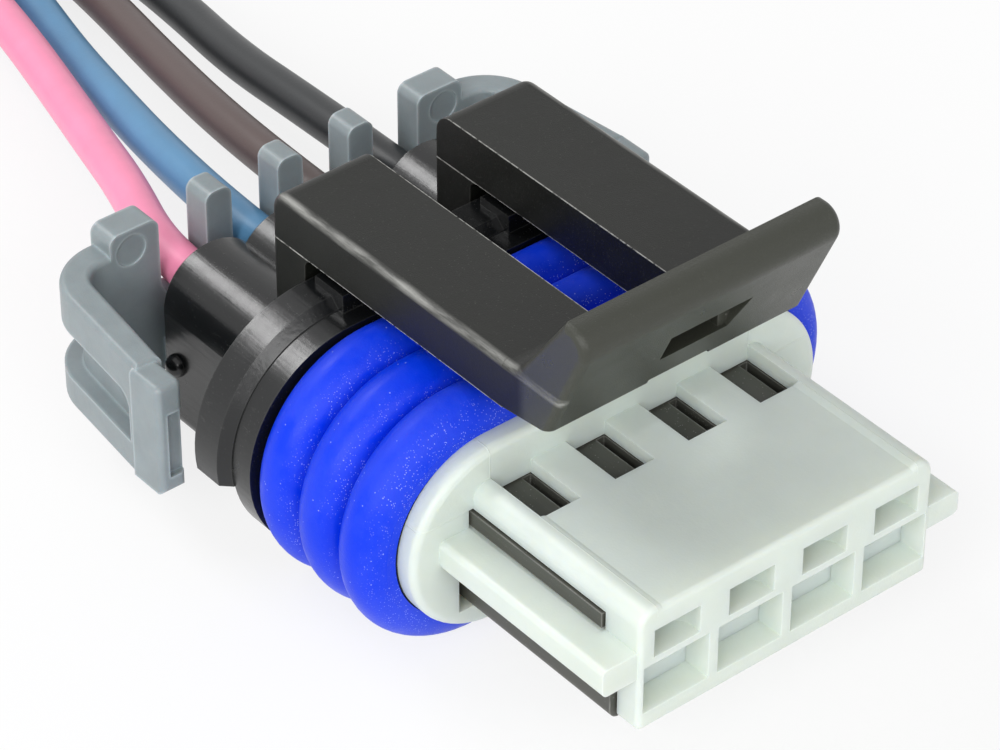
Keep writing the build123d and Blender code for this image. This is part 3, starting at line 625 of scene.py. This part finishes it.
# Properties
class PigtailColours(PropertyGroup):
    """Base colours of the pieces."""

    shell: FloatVectorProperty(name="Shell", description="Pale front shell", subtype="COLOR",
                               default=(0.640, 0.705, 0.648), min=0.0, max=1.0)
    housing: FloatVectorProperty(name="Housing", description="Glossy black housing", subtype="COLOR",
                                 default=(0.006, 0.0065, 0.007), min=0.0, max=1.0)
    latch: FloatVectorProperty(name="Latch", description="Satin black latch", subtype="COLOR",
                               default=(0.0065, 0.007, 0.0055), min=0.0, max=1.0)
    seal: FloatVectorProperty(name="Seal", description="Ribbed seal", subtype="COLOR",
                              default=(0.0, 0.036, 0.70), min=0.0, max=1.0)
    lock: FloatVectorProperty(name="Lock", description="Rear lock", subtype="COLOR",
                              default=(0.245, 0.285, 0.30), min=0.0, max=1.0)
    pink: FloatVectorProperty(name="Pink lead", description="Jacket of the first lead", subtype="COLOR",
                              default=(0.97, 0.30, 0.48), min=0.0, max=1.0)
    blue: FloatVectorProperty(name="Blue lead", description="Jacket of the second lead", subtype="COLOR",
                              default=(0.10, 0.27, 0.47), min=0.0, max=1.0)
    brown: FloatVectorProperty(name="Brown lead", description="Jacket of the third lead", subtype="COLOR",
                               default=(0.090, 0.060, 0.056), min=0.0, max=1.0)
    black: FloatVectorProperty(name="Black lead", description="Jacket of the fourth lead", subtype="COLOR",
                               default=(0.012, 0.014, 0.016), min=0.0, max=1.0)


class PigtailLeads(PropertyGroup):
    """Sizes of the leads and of their coil."""

    radius: FloatProperty(name="Radius", description="Outer radius of a jacket", unit="LENGTH",
                          default=1.0 * MM)
    length: FloatProperty(name="Length", description="Length of a lead past its tower", unit="LENGTH",
                          default=150 * MM)
    inner_track: FloatProperty(name="Inner turn", description="Radius of the innermost turn", unit="LENGTH",
                               default=9.5 * MM)
    track_step: FloatProperty(name="Turn spacing", description="Distance between neighbouring turns",
                              unit="LENGTH", default=2.1 * MM)
    layer: FloatProperty(name="Layer", description="Height of one layer of turns", unit="LENGTH",
                         default=2.05 * MM)
    turn_points: IntProperty(name="Points a turn", description="Control points in one turn",
                             default=14, min=12)


class PigtailCamera(PropertyGroup):
    """The photographer's place."""

    azimuth: FloatProperty(name="Azimuth", description="Turn about the vertical", subtype="ANGLE",
                           default=radians(-39.482))
    elevation: FloatProperty(name="Elevation", description="Height angle", subtype="ANGLE",
                             default=radians(37.868))
    roll: FloatProperty(name="Roll", description="Tilt of the picture", subtype="ANGLE",
                        default=radians(0.118))
    distance: FloatProperty(name="Distance", description="From the aimed point to the lens", unit="LENGTH",
                            default=167.885 * MM)
    lens: FloatProperty(name="Lens", description="Focal length on a 36 mm wide sensor, in millimetres",
                        default=165.03)
    aim: FloatVectorProperty(name="Aim", description="Point at the middle of the picture", subtype="XYZ",
                             unit="LENGTH", default=(-15.231 * MM, -17.4 * MM, 24.875 * MM))


# Operators
class PIGTAIL_OT_shell(Operator):
    """Finish the pale front shell and wall off its mouths"""

    bl_idname = "pigtail.shell"
    bl_label = "Front shell"

    def execute(self, context):
        nylon = pale_shell(context.scene.pigtail_colours)
        dress("nose", nylon)
        walls = mouth_walls()
        walls.data.materials.append(nylon)
        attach(walls, PLUG)
        return {"FINISHED"}


class PIGTAIL_OT_housing(Operator):
    """Finish the black housing and its latch"""

    bl_idname = "pigtail.housing"
    bl_label = "Housing and latch"

    def execute(self, context):
        dress("housing", housing_black(context.scene.pigtail_colours))
        dress("latch", latch_black(context.scene.pigtail_colours))
        return {"FINISHED"}


class PIGTAIL_OT_seal(Operator):
    """Finish the ribbed seal"""

    bl_idname = "pigtail.seal"
    bl_label = "Seal"

    def execute(self, context):
        dress("interface_seal", ribbed_silicone(context.scene.pigtail_colours))
        return {"FINISHED"}


class PIGTAIL_OT_lock(Operator):
    """Finish the rear lock"""

    bl_idname = "pigtail.lock"
    bl_label = "Rear lock"

    def execute(self, context):
        dress("rear_lock", grey_lock(context.scene.pigtail_colours))
        return {"FINISHED"}


class PIGTAIL_OT_contacts(Operator):
    """Finish the contacts, their conductors and the cable seals"""

    bl_idname = "pigtail.contacts"
    bl_label = "Contacts"

    def execute(self, context):
        tin = tinned_contact()
        copper = bare_copper()
        rubber = small_seal()
        for number, name in enumerate(LEAD_NAMES, start=1):
            dress(f"terminal_{number}", tin)
            dress(f"conductor_{name}", copper)
            dress(f"strand_end_{name}", copper)
            dress(f"cable_seal_{number}", rubber)
        return {"FINISHED"}


class PIGTAIL_OT_leads(Operator):
    """Lay the four leads and their coil"""

    bl_idname = "pigtail.leads"
    bl_label = "Leads"

    def execute(self, context):
        leads = context.scene.pigtail_leads
        colours = context.scene.pigtail_colours
        for number, name in enumerate(LEAD_NAMES):
            points = lead_points(number, leads)
            tube = tube_along(f"jacket_{name}", points, leads.radius)
            tube.data.materials.append(jacket(name, getattr(colours, name)))
            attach(tube, PLUG)
            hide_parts(f"lead_{name}")
            riders = [f"strand_end_{name}"]
            if number == 0:
                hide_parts("lead_coil")
                riders += COIL_TIES
        return {"FINISHED"}


class PIGTAIL_OT_ties(Operator):
    """Finish the ties that hold the coil"""

    bl_idname = "pigtail.ties"
    bl_label = "Coil ties"

    def execute(self, context):
        nylon = tie_nylon()
        for node in COIL_TIES:
            dress(node, nylon)
        return {"FINISHED"}


class PIGTAIL_OT_stage(Operator):
    """Set the floor, lamps, world and camera"""

    bl_idname = "pigtail.stage"
    bl_label = "Stage"

    def execute(self, context):
        self.add_floor()
        self.add_lights(context)
        self.add_camera(context)
        context.scene.view_settings.view_transform = "Standard"
        return {"FINISHED"}

    def add_floor(self):
        """A pale floor that fades into the white background."""
        bm = bmesh.new()
        bmesh.ops.create_circle(bm, cap_ends=True, segments=64, radius=FLOOR_RADIUS)
        paper = add_mesh("floor", bm)
        finish = Finish("floor_paper", base_color=FLOOR_GREY, roughness=0.8, specular_ior_level=0.1)
        lit = Field(finish, finish.shader.outputs[0])
        glow = finish.node("ShaderNodeEmission", strength=1.0)
        shown = finish.node("ShaderNodeMixShader", i0=finish.seen() * FLOOR_GLOW, i1=lit, i2=glow)
        finish.plug(finish.tree.nodes["Material Output"].inputs["Surface"], shown)
        paper.data.materials.append(finish.material)

    def add_lights(self, context):
        """Soft lamps and a pale world that shows white behind the object."""
        aim = (0.0, 0.0, MID_HEIGHT)
        for name, place, size, power in LAMPS:
            area_light(name, place, aim, size, power)
        world = bpy.data.worlds.new("studio")
        world.use_nodes = True
        context.scene.world = world
        sky = Graph(world.node_tree)
        lit = sky.node("ShaderNodeBackground", color=WHITE, strength=WORLD_STRENGTH)
        shown = sky.node("ShaderNodeBackground", color=WHITE, strength=1.0)
        chosen = sky.node("ShaderNodeMixShader", i0=sky.seen(), i1=lit, i2=shown)
        sky.plug(sky.tree.nodes["World Output"].inputs["Surface"], chosen)

    def add_camera(self, context):
        """The camera at the photograph's place."""
        view = context.scene.pigtail_camera
        turn = view.azimuth
        lift = view.elevation
        ahead = Vector((-sin(turn) * cos(lift), cos(turn) * cos(lift), -sin(lift)))
        right = Vector((cos(turn), sin(turn), 0.0))
        up = right.cross(ahead)
        tilt_right = cos(view.roll) * right + sin(view.roll) * up
        tilt_up = cos(view.roll) * up - sin(view.roll) * right
        data = bpy.data.cameras.new("camera")
        data.lens = view.lens
        data.sensor_width = 36.0
        data.clip_start = 0.01
        camera = add_object("camera", data)
        place = Vector(view.aim) - view.distance * ahead
        turned = Matrix((tilt_right, tilt_up, -ahead)).transposed().to_4x4()
        camera.matrix_world = Matrix.Translation(place) @ turned
        context.scene.camera = camera


class PIGTAIL_PT_panel(Panel):
    """Lists the pieces"""

    bl_idname = "PIGTAIL_PT_panel"
    bl_label = "Pigtail"
    bl_space_type = "VIEW_3D"
    bl_region_type = "UI"
    bl_category = "Pigtail"

    def draw(self, context):
        for operator in OPERATORS:
            self.layout.operator(operator.bl_idname)
        scene = context.scene
        for group in (scene.pigtail_colours, scene.pigtail_leads, scene.pigtail_camera):
            box = self.layout.box()
            for key in group.__annotations__:
                box.prop(group, key)


GROUPS = (PigtailColours, PigtailLeads, PigtailCamera)
OPERATORS = (PIGTAIL_OT_shell, PIGTAIL_OT_housing, PIGTAIL_OT_seal, PIGTAIL_OT_lock, PIGTAIL_OT_contacts,
             PIGTAIL_OT_leads, PIGTAIL_OT_ties, PIGTAIL_OT_stage)
CLASSES = (*GROUPS, *OPERATORS, PIGTAIL_PT_panel)


def register():
    """Register the classes and hang the property groups on the scene."""
    for entry in CLASSES:
        bpy.utils.register_class(entry)
    bpy.types.Scene.pigtail_colours = PointerProperty(type=PigtailColours)
    bpy.types.Scene.pigtail_leads = PointerProperty(type=PigtailLeads)
    bpy.types.Scene.pigtail_camera = PointerProperty(type=PigtailCamera)


def unregister():
    """Take the property groups and classes away again."""
    del bpy.types.Scene.pigtail_camera
    del bpy.types.Scene.pigtail_leads
    del bpy.types.Scene.pigtail_colours
    for entry in reversed(CLASSES):
        bpy.utils.unregister_class(entry)


def main():
    """Build every piece and the stage."""
    register()
    for operator in OPERATORS:
        group, name = operator.bl_idname.split(".")
        getattr(getattr(bpy.ops, group), name)()


if __name__ == "__main__":
    main()
